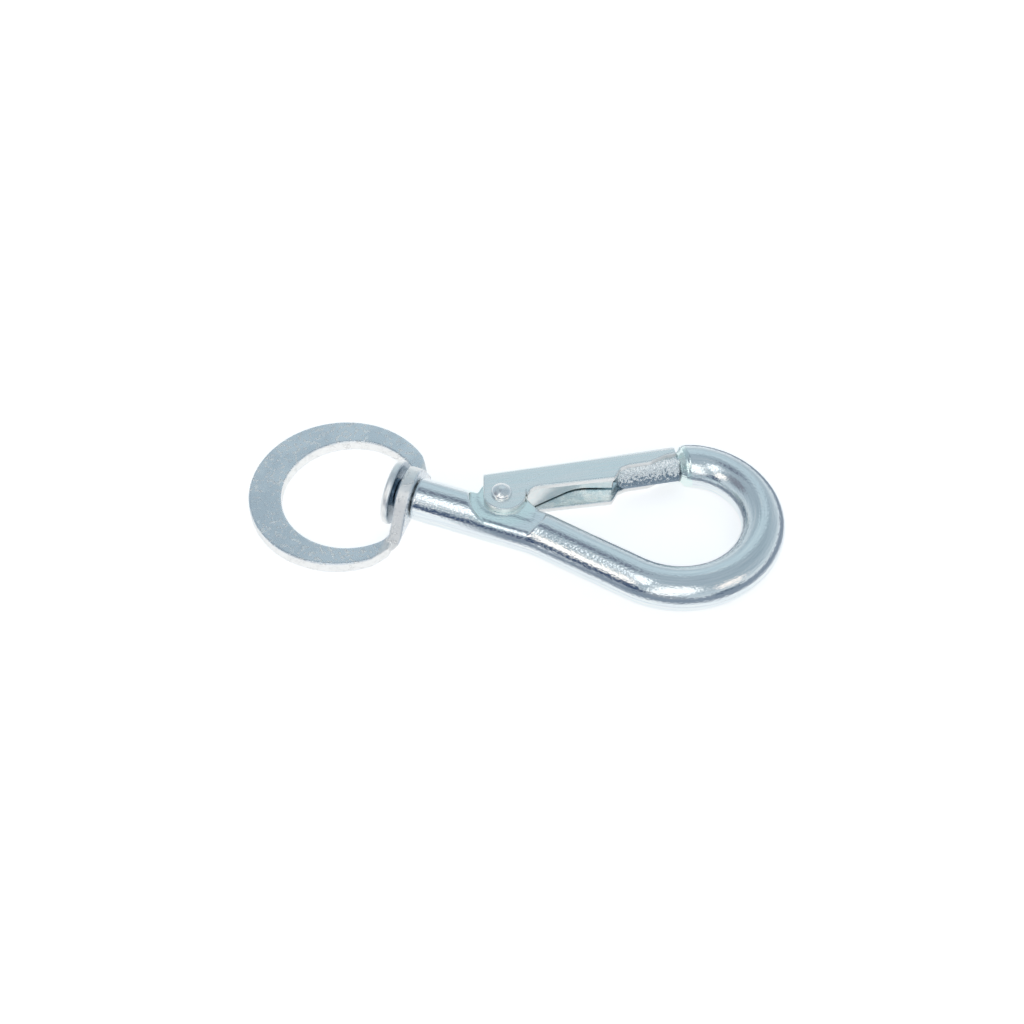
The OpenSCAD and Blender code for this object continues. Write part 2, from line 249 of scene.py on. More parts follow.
def glowing(tree, colour, glow_colour, strength):
    """The floor with some glow: what one kind of ray sees."""
    surface = node(tree, "ShaderNodeBsdfDiffuse")
    feed(tree, colour, surface.inputs["Color"])
    glow = node(tree, "ShaderNodeEmission")
    feed(tree, glow_colour, glow.inputs["Color"])
    feed(tree, strength, glow.inputs["Strength"])
    both = node(tree, "ShaderNodeAddShader")
    link(tree, surface.outputs[0], both.inputs[0])
    link(tree, glow.outputs[0], both.inputs[1])
    return both.outputs[0]


def floor_finish():
    material = bpy.data.materials.new("pale_floor")
    material.use_nodes = True
    tree = material.node_tree
    tree.nodes.clear()
    facing = node(tree, "ShaderNodeLayerWeight").outputs["Facing"]
    grazing = ramp(tree, facing, [(GRAZING_FROM, grey(0)), (GRAZING_TO, grey(1))])
    spot = split(tree, node(tree, "ShaderNodeTexCoord").outputs["Object"])
    across = plus(tree, spot[0], times(tree, spot[1], DARK_SLANT))
    on_right = ramp(tree, across, [(DARK_FROM, grey(0)), (DARK_TO, grey(1))])
    mirrored = mix_colour(tree, times(tree, grazing, on_right), grey(1.0), MIRRORED_DARK)
    paths = node(tree, "ShaderNodeLightPath")
    plain = node(tree, "ShaderNodeBsdfDiffuse")
    feed(tree, FLOOR_COLOUR, plain.inputs["Color"])
    shader = plain.outputs[0]
    for ray, seen in (
            ("Is Camera Ray", glowing(tree, FLOOR_COLOUR, grey(1.0), FLOOR_GLOW)),
            ("Is Glossy Ray", glowing(tree, MIRRORED_COLOUR, mirrored, MIRRORED_GLOW))):
        choice = node(tree, "ShaderNodeMixShader")
        link(tree, paths.outputs[ray], choice.inputs[0])
        link(tree, shader, choice.inputs[1])
        link(tree, seen, choice.inputs[2])
        shader = choice.outputs[0]
    output = node(tree, "ShaderNodeOutputMaterial")
    link(tree, shader, output.inputs[0])
    return material


def make_floor():
    h = FLOOR_HALF
    data = bpy.data.meshes.new("floor")
    data.from_pydata([(-h, -h, 0), (h, -h, 0), (h, h, 0), (-h, h, 0)], [], [(0, 1, 2, 3)])
    floor = bpy.data.objects.new("floor", data)
    bpy.context.scene.collection.objects.link(floor)
    data.materials.append(floor_finish())
    return floor


floor = make_floor()
print("floor of %.1f m" % (2 * FLOOR_HALF))

# %% [markdown]
# One real lamp, a big soft one high behind the hook, gives the shadow its direction. It is a lamp
# of half a metre, so it adds no hard spark, and its power is small because it is near.

# %% Lamp
LAMP_PLACE = (0.22, 0.30, 0.75)
LAMP_SIZE = 0.5  # in metres
LAMP_POWER = 0.32  # in watts
LAMP_COLOUR = (0.98, 0.99, 1.0)

lamp_data = bpy.data.lights.new("overhead", "AREA")
lamp_data.shape = "SQUARE"
lamp_data.size = LAMP_SIZE
lamp_data.energy = LAMP_POWER
lamp_data.color = LAMP_COLOUR
lamp = bpy.data.objects.new("overhead", lamp_data)
bpy.context.scene.collection.objects.link(lamp)
lamp.location = LAMP_PLACE
lamp.rotation_euler = (AIM - Vector(LAMP_PLACE)).to_track_quat("-Z", "Y").to_euler()
lamp.visible_glossy = False
print("lamp at", LAMP_PLACE)

# %% [markdown]
# From here on, lengths are in millimetres, as in the frame's own source. The swivel axis and the
# rivet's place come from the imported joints. Two frames help: the hook's, with u along the shank,
# v to the gate's side and w up from the bar, and the gate's, which is turned about the rivet so
# that its x runs along the gate and its y points outward.

# %% Hook's frame
MM = 0.001
joints = {joint["name"]: joint for joint in frame["joints"]}
shoulder = np.array(joints["eye_swivel"]["pos_m"]) / MM
shank = np.array(joints["eye_swivel"]["axis"], float)
shank /= np.linalg.norm(shank)
side = np.array([0.0, 1.0, 0.0])
HOOK_AXES = np.array([shank, side, np.cross(shank, side)])
pivot = (HOOK_AXES @ (np.array(joints["gate_hinge"]["pos_m"]) / MM - shoulder))[:2]
print("rivet at", pivot.round(2), "mm from the shoulder")


def unit(degrees):
    """The direction at an angle, in the plane of the hook."""
    return np.array([math.cos(math.radians(degrees)), math.sin(math.radians(degrees))])


def left(degrees):
    """The direction to the left of that angle."""
    return unit(degrees + 90)


def turned(points, degrees):
    """2D points turned about the origin."""
    c, s = math.cos(math.radians(degrees)), math.sin(math.radians(degrees))
    x, y = np.asarray(points, float)[..., 0], np.asarray(points, float)[..., 1]
    return np.stack([x * c - y * s, x * s + y * c], -1)

# %% [markdown]
# The bar's middle line is settled before its surface. It is a straight shank, a shallow knee, the
# long arm and a bow of three arcs that tighten towards the nose. Each arc starts where the last
# one ends, in the same direction, as a bent bar does. The nose then points back at the rivet, and
# that line gives the angle of the gate.

# %% Middle line
KNEE_X, KNEE_R = 23.3, 20.0  # from the shoulder to the knee, and its bend
ARM_ANGLE, ARM_LEN = 10.4, 19.1  # the arm, away from the shank's line
BOW_R, BOW_TURN = 16.0, 103.0  # the bow's first arc
NOSE_R = 12.9  # its second arc
TIGHT_R, TIGHT_TURN = 7.0, 20.0  # the short bend before the nose
TENON_LEN, TENON_RISE = 13.0, 3.1  # the tenon, and how far its axis passes the rivet

knee_cut = KNEE_R * math.tan(math.radians(ARM_ANGLE / 2))
knee = np.array([KNEE_X, 0.0])
arm_start = knee + knee_cut * unit(-ARM_ANGLE)
arm_end = knee + ARM_LEN * unit(-ARM_ANGLE)
bow_c = arm_end + BOW_R * left(-ARM_ANGLE)
bow_dir = BOW_TURN - ARM_ANGLE
nose_c = bow_c + (NOSE_R - BOW_R) * left(bow_dir)
to_nose = nose_c - pivot
nose_rise = TIGHT_R + (NOSE_R - TIGHT_R) * math.cos(math.radians(TIGHT_TURN)) - TENON_RISE
GATE_ANGLE = math.degrees(math.atan2(to_nose[1], to_nose[0]) + math.asin(nose_rise / np.hypot(*to_nose)))
tight_dir = GATE_ANGLE + 180 - TIGHT_TURN
tight_c = nose_c - (NOSE_R - TIGHT_R) * left(tight_dir)
SHOULDER_X = turned(tight_c - pivot, -GATE_ANGLE)[0]
TIP_X = SHOULDER_X - TENON_LEN
print("gate angle %.2f, nose shoulder at %.2f mm" % (GATE_ANGLE, SHOULDER_X))

# %% [markdown]
# With the gate's angle known, points can go from one frame to another and back. A piece is easiest
# to shape where it lies straight, and its finished mesh is then moved to its place on the floor.

# %% Between the frames
def to_hook(world_mm):
    """Points of the frame's own axes, in the hook's."""
    return (world_mm - shoulder) @ HOOK_AXES.T


def from_hook(p):
    """Points of the hook's frame, in the frame's own axes."""
    return p @ HOOK_AXES + shoulder


def to_gate(p):
    """Points of the hook's frame, in the gate's."""
    flat = turned(p[:, :2] - pivot, -GATE_ANGLE)
    return np.column_stack([flat, p[:, 2]])


def from_gate(p):
    """Points of the gate's frame, in the hook's."""
    flat = turned(p[:, :2], GATE_ANGLE) + pivot
    return np.column_stack([flat, p[:, 2]])


def gate_to_world(p):
    return from_hook(from_gate(p))

# %% [markdown]
# Forged and stamped steel has no knife edge: a press rolls each one over. A simple way to model
# that is a distance function, which says how far a point is from the surface, below zero inside.
# The larger of two such functions is what two shapes share, the smaller is both together, and a
# soft version of each rounds the edge or fills the corner between them by a chosen amount.

# %% Joining shapes
def soft_max(a, b, k):
    """The shared part of two shapes, its edge rounded by about k."""
    h = np.clip(0.5 - 0.5 * (b - a) / k, 0, 1)
    return b + (a - b) * h + k * h * (1 - h)


def soft_min(a, b, k):
    """Both shapes together, the corner between them filled by about k."""
    return -soft_max(-a, -b, k)

# %% [markdown]
# Bar, strip and folded sheet are all a middle line with a thickness, so the next helpers measure
# from a straight line and from an arc. Flat shapes come from a closed outline of corners.

# %% Paths and outlines
def line_path(p, start, heading, length):
    """How far points are from a straight path, how far along it, and how far to its left."""
    rel = p - start
    s = np.clip(rel @ unit(heading), 0, length)
    gap = rel - s[:, None] * unit(heading)
    return np.hypot(gap[:, 0], gap[:, 1]), s, rel @ left(heading)


def arc_path(p, centre, radius, start, turn):
    """The same for an arc about centre, from the angle start and turning by turn."""
    rel = p - centre
    sense = math.copysign(1, turn)
    angle = np.degrees(np.arctan2(rel[:, 1], rel[:, 0])) - start
    angle = ((angle + 180) % 360 - 180) * sense
    angle = np.clip(angle, 0, abs(turn))
    at = np.radians(start + sense * angle)
    gap = rel - radius * np.column_stack([np.cos(at), np.sin(at)])
    across = sense * (radius - np.hypot(rel[:, 0], rel[:, 1]))
    return np.hypot(gap[:, 0], gap[:, 1]), np.radians(angle) * radius, across


def path_distance(p, parts):
    """How far points are from a row of paths."""
    d = np.full(len(p), 1e9)
    for path, values in parts:
        d = np.minimum(d, path(p, *values)[0])
    return d


def polygon_distance(p, corners):
    """Signed distance from a closed outline, below zero inside."""
    a = np.asarray(corners, float)
    b = np.roll(a, -1, 0)
    best = np.full(len(p), 1e9)
    inside = np.zeros(len(p), bool)
    for (ax, ay), (bx, by) in zip(a, b):
        ex, ey = bx - ax, by - ay
        wx, wy = p[:, 0] - ax, p[:, 1] - ay
        t = np.clip((wx * ex + wy * ey) / (ex * ex + ey * ey), 0, 1)
        best = np.minimum(best, (wx - t * ex) ** 2 + (wy - t * ey) ** 2)
        crosses = (ay > p[:, 1]) != (by > p[:, 1])
        if ay != by:
            inside ^= crosses & (p[:, 0] < (p[:, 1] - ay) * ex / ey + ax)
    return np.where(inside, -1, 1) * np.sqrt(best)


def rounded_corner(across, along, radius):
    """Distance from a square corner of radius, given how far each side lies beyond its place."""
    q = np.column_stack([across + radius, along + radius])
    return np.minimum(q.max(1), 0) + np.hypot(*np.maximum(q, 0).T) - radius


def arc_points(centre, radius, start, end, count):
    """Points along an arc, for an outline."""
    return [np.asarray(centre) + radius * unit(start + (end - start) * i / count) for i in range(count + 1)]

# %% [markdown]
# A distance function becomes a mesh in two steps. A grid of small cells finds where the sign
# changes, and each such cell gets one vertex, joined to its neighbours by quads. Then every vertex
# slides along the slope of the function on to the true surface. The slope is also the surface's
# normal, so the mesh gets exact normals and its highlights run clean, as on real polished bar.

# %% Grid of distances
BLOCK = 8  # cells along the side of a block
NEAR = 1.4  # blocks within this many sides are sampled


def sample_grid(distance, low, shape, cell):
    """Distances at the grid's points. Blocks that are far from the surface get one value each."""
    blocks = [-(-n // BLOCK) for n in shape]
    values = np.empty([b * BLOCK for b in blocks], np.float32)
    index = np.stack(np.meshgrid(*[np.arange(b) for b in blocks], indexing="ij"), -1).reshape(-1, 3)
    middle = low + (index * BLOCK + (BLOCK - 1) / 2) * cell
    far = distance(middle)
    near = np.abs(far) < BLOCK * cell * NEAR
    inner = np.stack(np.meshgrid(*[np.arange(BLOCK)] * 3, indexing="ij"), -1).reshape(-1, 3)
    for i in np.flatnonzero(~near):
        x, y, z = index[i] * BLOCK
        values[x:x + BLOCK, y:y + BLOCK, z:z + BLOCK] = far[i]
    kept = np.flatnonzero(near)
    for group in np.array_split(kept, max(1, len(kept) // 400)):
        points = (index[group][:, None] * BLOCK + inner[None]).reshape(-1, 3)
        values[points[:, 0], points[:, 1], points[:, 2]] = distance(low + points * cell)
    return values[:shape[0], :shape[1], :shape[2]]

# %% Surface net
NEIGHBOURS = [(0, 0, 0), (1, 0, 0), (0, 1, 0), (1, 1, 0), (0, 0, 1), (1, 0, 1), (0, 1, 1), (1, 1, 1)]


def quads_across(axis, inside, number, shape):
    """One quad for each grid edge along an axis that passes through the surface."""
    b, c = (axis + 1) % 3, (axis + 2) % 3
    here = [slice(None)] * 3
    there = [slice(None)] * 3
    here[axis], there[axis] = slice(0, -1), slice(1, None)
    edges = np.argwhere(inside[tuple(here)] != inside[tuple(there)])
    edges = edges[(edges[:, b] > 0) & (edges[:, c] > 0)]
    edges = edges[(edges[:, b] < shape[b] - 1) & (edges[:, c] < shape[c] - 1)]
    ring = []
    for db, dc in ((0, 0), (-1, 0), (-1, -1), (0, -1)):
        shifted = edges.copy()
        shifted[:, b] += db
        shifted[:, c] += dc
        ring.append(number[shifted[:, 0], shifted[:, 1], shifted[:, 2]])
    ring = np.stack(ring, 1)
    flip = ~inside[edges[:, 0], edges[:, 1], edges[:, 2]]
    ring[flip] = ring[flip][:, ::-1]
    return ring


def surface_net(distance, low, high, cell):
    """Vertices and quads of the surface where the distance is zero."""
    low, high = np.asarray(low, float), np.asarray(high, float)
    shape = [int(math.ceil((h - l) / cell)) + 1 for l, h in zip(low, high)]
    values = sample_grid(distance, low, shape, cell)
    corner = [values[x:shape[0] - 1 + x, y:shape[1] - 1 + y, z:shape[2] - 1 + z] for x, y, z in NEIGHBOURS]
    signs = sum((c < 0).astype(np.uint8) for c in corner)
    active = (signs > 0) & (signs < 8)
    number = np.full(active.shape, -1, np.int64)
    number[active] = np.arange(active.sum())
    points = low + (np.argwhere(active) + 0.5) * cell
    inside = values < 0
    quads = [quads_across(axis, inside, number, shape) for axis in range(3)]
    return points, np.concatenate(quads)

# %% Slide on to the surface
def slope(distance, p, step=0.02):
    """The direction in which the distance grows fastest, at each point."""
    out = np.empty_like(p)
    for axis in range(3):
        offset = np.zeros(3)
        offset[axis] = step
        out[:, axis] = distance(p + offset) - distance(p - offset)
    return out / np.maximum(np.linalg.norm(out, axis=1), 1e-9)[:, None]


def settle(distance, points, rounds):
    """Slides the points on to the surface."""
    for _ in range(rounds):
        points = points - distance(points)[:, None] * slope(distance, points)
    return points


def relax(points, quads, share=0.5):
    """Moves each point towards the middle of its quads' corners, which evens the mesh out."""
    total = np.zeros_like(points)
    count = np.zeros(len(points))
    centre = points[quads].mean(1)
    for corner in range(4):
        np.add.at(total, quads[:, corner], centre)
        np.add.at(count, quads[:, corner], 1)
    return points + share * (total / np.maximum(count, 1)[:, None] - points)

# %% Mesh object
def mesh_object(name, world, quads, normals):
    """A mesh object from points in mm, quads and a normal for each point."""
    data = bpy.data.meshes.new(name)
    data.vertices.add(len(world))
    data.vertices.foreach_set("co", (world * MM).astype(np.float32).ravel())
    data.loops.add(quads.size)
    data.loops.foreach_set("vertex_index", quads.astype(np.int32).ravel())
    data.polygons.add(len(quads))
    data.polygons.foreach_set("loop_start", np.arange(0, quads.size, 4, dtype=np.int32))
    data.update(calc_edges=True)
    data.validate()
    data.polygons.foreach_set("use_smooth", np.ones(len(data.polygons), bool))
    data.normals_split_custom_set_from_vertices(normals.astype(np.float32))
    made = bpy.data.objects.new(name, data)
    bpy.context.scene.collection.objects.link(made)
    return made


def make_piece(name, distance, low, high, cell, to_world):
    """A piece from its distance function, in its own frame in mm. Also gives its points there."""
    points, quads = surface_net(distance, low, high, cell)
    for _ in range(3):
        points = settle(distance, relax(points, quads), 2)
    points = settle(distance, points, 3)
    world = to_world(points)
    normals = to_world(points + slope(distance, points) * 0.01) - world
    normals /= np.linalg.norm(normals, axis=1)[:, None]
    print("%s: %d points, %d quads" % (name, len(world), len(quads)))
    return mesh_object(name, world, quads, normals), points


def store(obj, name, values):
    """Keeps one or three numbers a vertex, which a material can read."""
    values = np.asarray(values, np.float32)
    if values.ndim == 1:
        layer = obj.data.attributes.new(name, "FLOAT", "POINT")
        layer.data.foreach_set("value", values)
    else:
        layer = obj.data.attributes.new(name, "FLOAT_VECTOR", "POINT")
        layer.data.foreach_set("vector", values.ravel())

# %% [markdown]
# The hook is one length of 8 mm bar, swept round along its middle line. A sweep by hand would be
# a circle drawn along a curve. Here it is the distance from the middle line less the bar's radius,
# which can be cut and filled like any other shape. The shank ends square at the shoulder, and the
# nose ends square where its tenon starts.

# %% Round bar
BAR_R = 4.0
SHANK_EDGE, NOSE_EDGE = 0.5, 0.7  # how round its two shoulders are
BAR_PATH = [
    (line_path, (np.zeros(2), 0, KNEE_X - knee_cut)),
    (arc_path, (np.array([KNEE_X - knee_cut, -KNEE_R]), KNEE_R, 90, -ARM_ANGLE)),
    (line_path, (arm_start, -ARM_ANGLE, ARM_LEN - knee_cut)),
    (arc_path, (bow_c, BOW_R, -90 - ARM_ANGLE, BOW_TURN)),
]
NOSE_PATH = [
    (arc_path, (nose_c, NOSE_R, bow_dir - 90, tight_dir - bow_dir)),
    (arc_path, (tight_c, TIGHT_R, tight_dir - 90, TIGHT_TURN)),
]


def bar_distance(p):
    """The round bar, cut square at its shoulder and at the nose's shoulder."""
    flat = p[:, :2]
    body = np.hypot(path_distance(flat, BAR_PATH), p[:, 2]) - BAR_R
    body = soft_max(body, -p[:, 0], SHANK_EDGE)
    nose = np.hypot(path_distance(flat, NOSE_PATH), p[:, 2]) - BAR_R
    along = turned(flat - pivot, -GATE_ANGLE)[:, 0]
    nose = soft_max(nose, SHOULDER_X - along, NOSE_EDGE)
    return np.minimum(body, nose)

# %% [markdown]
# Near the knee a press has squeezed the bar flat, from above and below, into an ear that carries
# the rivet. It is made in the same order as on the real hook: first the press takes its room out
# of the round bar, and then the flat ear is added, where the steel has gone. The ear is a cam
# about the rivet, so that the gate's back clears it at every angle.

# %% Pressed ear
EAR_HALF = 2.8  # half its thickness
PRESS_R, PRESS_END = 5.9, 23.6  # the press mark's round part and its far end
PRESS_SLANT, PRESS_CORNER = 4.4, 0.6  # how far the far end slants, and up to what height
PRESS_ROUND = 1.2
INSET_LOW, INSET_HIGH = 1.12 * PRESS_ROUND, 0.24 * PRESS_ROUND  # room for that rounding
GATE_T, BACK_H, STOP_GAP = 1.2, 5.7, 0.1  # the gate's sheet, its back's height and its stop
CAM_R = BACK_H - GATE_T - STOP_GAP

press_c = pivot + [0.4, -0.5]
PRESS_FAR = [
    (press_c[0], -2 * BAR_R),
    (PRESS_END - PRESS_SLANT - INSET_LOW, -2 * BAR_R),
    (PRESS_END - PRESS_ROUND, PRESS_CORNER + INSET_HIGH),
    (PRESS_END - PRESS_ROUND, 2 * BAR_R),
    (press_c[0], 2 * BAR_R),
]
ear_end = (KNEE_X - 1.5, BAR_R - 0.6)
ear_brow = pivot + [CAM_R - 0.4, 1.6]


def press_distance(p):
    """The room that the press took: above and below the ear, inside the press mark."""
    flat = p[:, :2]
    plan = np.hypot(*(flat - press_c).T) - PRESS_R
    plan = soft_min(plan, polygon_distance(flat, PRESS_FAR) - PRESS_ROUND, 0.6)
    return soft_max(plan, EAR_HALF - np.abs(p[:, 2]), 0.3)


def ear_distance(p):
    """The flat ear: a cam round the rivet that runs out into the knee."""
    flat = p[:, :2]
    plan = np.hypot(*(flat - pivot).T) - CAM_R
    run_out = polygon_distance(flat, [pivot, (pivot[0], 0), (ear_end[0], 0), ear_end, ear_brow])
    plan = soft_min(plan, run_out, 0.6)
    return soft_max(plan, np.abs(p[:, 2]) - EAR_HALF, 0.7)

# %% [markdown]
# The bar's other end is turned down to a neck, put through the eye and riveted over into a round
# head with a low dome. The gaps on both sides of the eye's plate let it swivel.

# %% Neck and head
PLATE_T = 2.5  # the eye's plate
NECK_R = 2.6
HEAD_R, HEAD_T, HEAD_DOME = 6.0, 1.4, 0.5  # radius, thickness at the rim, height of the dome
HEAD_GAP, SHOULDER_GAP = 0.9, 0.2  # on each side of the plate
DOME_SHARE = 0.8  # of the radius of a dome that would reach the rim


def neck_distance(p):
    """The neck and the riveted head inside the eye."""
    radius = np.hypot(p[:, 1], p[:, 2])
    neck_len = PLATE_T + SHOULDER_GAP + HEAD_GAP
    neck = np.maximum(radius - NECK_R, np.abs(p[:, 0] + neck_len / 2) - neck_len / 2 - 0.5)
    head_back = -neck_len - HEAD_T
    disc = soft_max(radius - HEAD_R, np.abs(p[:, 0] - head_back - HEAD_T / 2) - HEAD_T / 2, 0.55)
    ball_r = (HEAD_R ** 2 + HEAD_DOME ** 2) / (2 * HEAD_DOME) * DOME_SHARE
    dome = np.hypot(radius, p[:, 0] - head_back + HEAD_DOME - ball_r) - ball_r
    dome = np.maximum(dome, np.maximum(radius - HEAD_R + 0.5, p[:, 0] - head_back - 0.3))
    return soft_min(soft_min(disc, dome, 0.25), neck, 0.25)

# %% [markdown]
# The nose is turned down too, to a tenon with a rounded tip that the gate closes over. A short
# cone joins it to the bar. It lies straight in the gate's frame, so it is worked out there.

# %% Tenon
TENON_R, TIP_ROUND = 2.5, 1.8  # its radius and the rounding of its tip
CONE_LEN = 1.2


def tenon_distance(p):
    """The tenon at the nose, with its cone and its rounded tip."""
    g = to_gate(p)
    radius = np.hypot(g[:, 1] - TENON_RISE, g[:, 2])
    rounded = rounded_corner(radius - TENON_R, TIP_X - g[:, 0], TIP_ROUND)
    pin = np.maximum(rounded, g[:, 0] - SHOULDER_X - 0.5)
    slope_out = (BAR_R + 0.1 - TENON_R) / CONE_LEN
    cone_x = SHOULDER_X - CONE_LEN
    cone = (radius - TENON_R - (g[:, 0] - cone_x) * slope_out) / math.hypot(1, slope_out)
    cone = np.maximum(cone, np.maximum(g[:, 0] - SHOULDER_X - 0.3, radius - BAR_R + 0.3))
    return soft_min(pin, cone, 0.35)

# %% [markdown]
# Now the parts of the bar come together. The mesh also keeps where each point lies along the bar
# and round it. The plating's fine drawn streaks run along the wire, so the finish needs those two
# numbers and not the plain x, y and z.

# %% Hook bar
HOOK_CELL = 0.27  # side of a grid cell


def hook_distance(p):
    """The whole bar, from its riveted head to its tenon."""
    d = soft_max(bar_distance(p), -press_distance(p), 0.6)
    d = soft_min(d, ear_distance(p), 0.35)
    d = np.minimum(d, neck_distance(p))
    return soft_min(d, tenon_distance(p), 0.3)


def bar_flow(p):
    """How far along the bar each point lies, how far round it, and how far out, in mm."""
    best = np.full(len(p), 1e9)
    flow = np.zeros((len(p), 3))
    start = 0.0
    for path, values in BAR_PATH + NOSE_PATH:
        d, s, across = path(p[:, :2], *values)
        closer = d < best - 1e-6
        best = np.where(closer, d, best)
        round_it = np.arctan2(p[:, 2], across) * BAR_R
        flow[closer] = np.column_stack([s + start, round_it, np.hypot(across, p[:, 2])])[closer]
        start += values[2] if path is line_path else abs(math.radians(values[3])) * values[1]
    return flow


hook, hook_points = make_piece(
    "hook_bar_body", hook_distance, (-7, -9.5, -7), (66.5, 30.5, 7), HOOK_CELL, from_hook)
store(hook, "flow", bar_flow(hook_points))
store(hook, "hook_place", hook_points)
store(hook, "gate_place", to_gate(hook_points))
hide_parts("hook_bar")
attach(hook, "hook_body")

# %% [markdown]
# The swivel eye is stamped from 2.5 mm plate: a round blank, wider at its far end, with a round
# hole. The tongue that is left at the hook's side is folded square up and holds the neck. First
# come the places that the folding settles: where the fold starts, and how the tongue's sides run
# from its foot to its round top.

# %% Fold of the eye
EYE_R, EYE_FLAT = 12.7, 1.9  # the hole, and how far the tongue cuts into it
BAND_W, BAND_EXTRA = 4.4, 1.8  # the band at its sides, and more at its far end
FOLD_R = 1.5  # inside of the fold
TAB_R, FOOT_W = 5.4, 9.7  # the tongue's round top and half its foot
AXIS_RISE = 3.75  # from the plate's top to the swivel axis

lean = math.degrees(math.asin(-shank[2]))
back_off = FOLD_R + PLATE_T + SHOULDER_GAP + (AXIS_RISE - FOLD_R) * math.sin(math.radians(lean))
fold_x = shoulder[0] - back_off / math.cos(math.radians(lean))
foot_low = AXIS_RISE + PLATE_T
side_turn = math.degrees(math.acos(TAB_R / math.hypot(FOOT_W, foot_low)) - math.atan2(foot_low, FOOT_W))
foot_top = (TAB_R + AXIS_RISE * unit(side_turn)[1]) / unit(side_turn)[0]
print("the shank leans %.2f degrees, the fold starts at %.2f mm" % (lean, fold_x))

# %% [markdown]
# The blank is flat, so its outline is enough for it. The tongue's distance is worked out from a
# bent middle line instead, because the sheet keeps its thickness round the fold. Where that
# distance is nearly half a thickness a point lies on a face of the sheet, and elsewhere on a
# sheared edge. The mesh keeps that too, because the edges have another finish.

# %% Swivel eye
CORNER_END, CORNER_CUT = fold_x + 2.2, 2.8  # the blank's corners beside the tongue
NECK_CLEAR = 0.08
EYE_EDGE = 0.35  # how round its sheared edges are
EYE_CELL = 0.21


def plate_outline(p):
    """The blank's outline: a circle, with its corners cut beside the tongue."""
    circle = np.hypot(p[:, 0] + BAND_EXTRA, p[:, 1]) - EYE_R - BAND_W
    corner = [
        (CORNER_END, 0), (CORNER_END, FOOT_W), (CORNER_END - CORNER_CUT / 2, FOOT_W + CORNER_CUT),
        (CORNER_END - CORNER_CUT, 40), (-60, 40), (-60, -40), (CORNER_END, -40),
    ]
    return soft_max(circle, polygon_distance(np.column_stack([p[:, 0], np.abs(p[:, 1])]), corner), 0.8)


def from_middle(p):
    """How far a point of the folded tongue is from the middle of the sheet."""
    mid_r = FOLD_R + PLATE_T / 2
    fold_c = np.array([fold_x, PLATE_T + FOLD_R])
    top = fold_c + mid_r * unit(-lean)
    return path_distance(p[:, [0, 2]], [
        (arc_path, (fold_c, mid_r, -90, 90 - lean)),
        (line_path, (top, 90 - lean, AXIS_RISE + TAB_R)),
    ])


def tab_distance(p, h):
    """The folded tongue, with a round top about the neck and straight sides down to its foot."""
    strip = np.maximum(from_middle(p) - PLATE_T / 2, fold_x - p[:, 0])
    v, w = np.abs(h[:, 1]), h[:, 2]
    c, s = unit(side_turn)
    foot = np.maximum(v * c + w * s - TAB_R, -v * s + w * c)
    return soft_max(strip, np.minimum(np.hypot(v, w) - TAB_R, foot), EYE_EDGE)


def eye_distance(p):
    """The folded eye, in the frame's own axes."""
    h = to_hook(p)
    beside = np.minimum(p[:, 0] - fold_x, foot_top - 0.3 - np.abs(p[:, 1]))
    plate = np.maximum(plate_outline(p), beside)
    plate = soft_max(plate, np.abs(p[:, 2] - PLATE_T / 2) - PLATE_T / 2, EYE_EDGE)
    d = soft_min(plate, tab_distance(p, h), 0.2)
    hole = soft_max(np.hypot(p[:, 0], p[:, 1]) - EYE_R, p[:, 0] - (EYE_R - EYE_FLAT), 0.25)
    d = soft_max(d, -hole, EYE_EDGE)
    bore = np.hypot(h[:, 1], h[:, 2]) - NECK_R - NECK_CLEAR
    return soft_max(d, -np.maximum(bore, np.abs(h[:, 0] + 2) - 4), 0.2)


eye, eye_points = make_piece(
    "eye_plate", eye_distance, (-20.5, -18.5, -1), (15, 18.5, 13.5), EYE_CELL, lambda p: p)
sheet_gap = np.minimum(from_middle(eye_points), np.abs(eye_points[:, 2] - PLATE_T / 2))
store(eye, "edge", np.clip((PLATE_T / 2 - 0.12 - sheet_gap) / 0.3, 0, 1))
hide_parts("swivel_ring")
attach(eye, "eye_body")

# %% [markdown]
# The gate is a channel folded from 1.2 mm sheet. Its two flanges hold the ear at the rivet and
# close over the tenon at the nose. Seen from above the flange has a square heel, a round lobe at
# the rivet, a notch, a long straight edge, and a step up at the tenon. That outline is drawn
# first, corner by corner, with the round stretches as arcs.

# %% Gate outline
LOBE_R, LOBE_SHIFT = 3.9, 0.5  # the lobe, a little ahead of the rivet
HEEL = 2.2  # how far the heel lies behind the rivet
NOTCH_R = 2.5
EDGE_H, EDGE_FALL = 0.4, 0.6  # the long edge's height and its fall
COVER, END_GAP = 0.85, 0.6  # past the tenon's axis, and before the cone
GATE_END = SHOULDER_X - CONE_LEN - END_GAP
STEP_X = TIP_X - 0.9  # where the edge steps up

over_tenon = TENON_RISE - COVER
FLANGE = [(GATE_END, 30), (-HEEL, 30), (-HEEL, BACK_H)]
FLANGE += arc_points((LOBE_SHIFT, 0), LOBE_R, 190, 357, 28)
FLANGE += arc_points((LOBE_SHIFT + LOBE_R + NOTCH_R, EDGE_H - NOTCH_R), NOTCH_R, 178, 92, 12)
FLANGE += [
    (STEP_X - 0.4, EDGE_H - EDGE_FALL), (STEP_X + 1.2, over_tenon - 0.55), (STEP_X + 3.0, over_tenon),
    (GATE_END - 5, over_tenon), (GATE_END - 1.8, over_tenon + 1.1), (GATE_END, over_tenon + 1.1),
]
print("gate from %.1f to %.1f mm" % (-HEEL, GATE_END))

# %% [markdown]
# The sheet itself is the space between an outer and an inner channel, both with round corners.
# Cutting that with the outline gives the gate, and a slot in its back lets the tenon through. As
# with the eye, the mesh keeps which of its points lie on a cut edge.

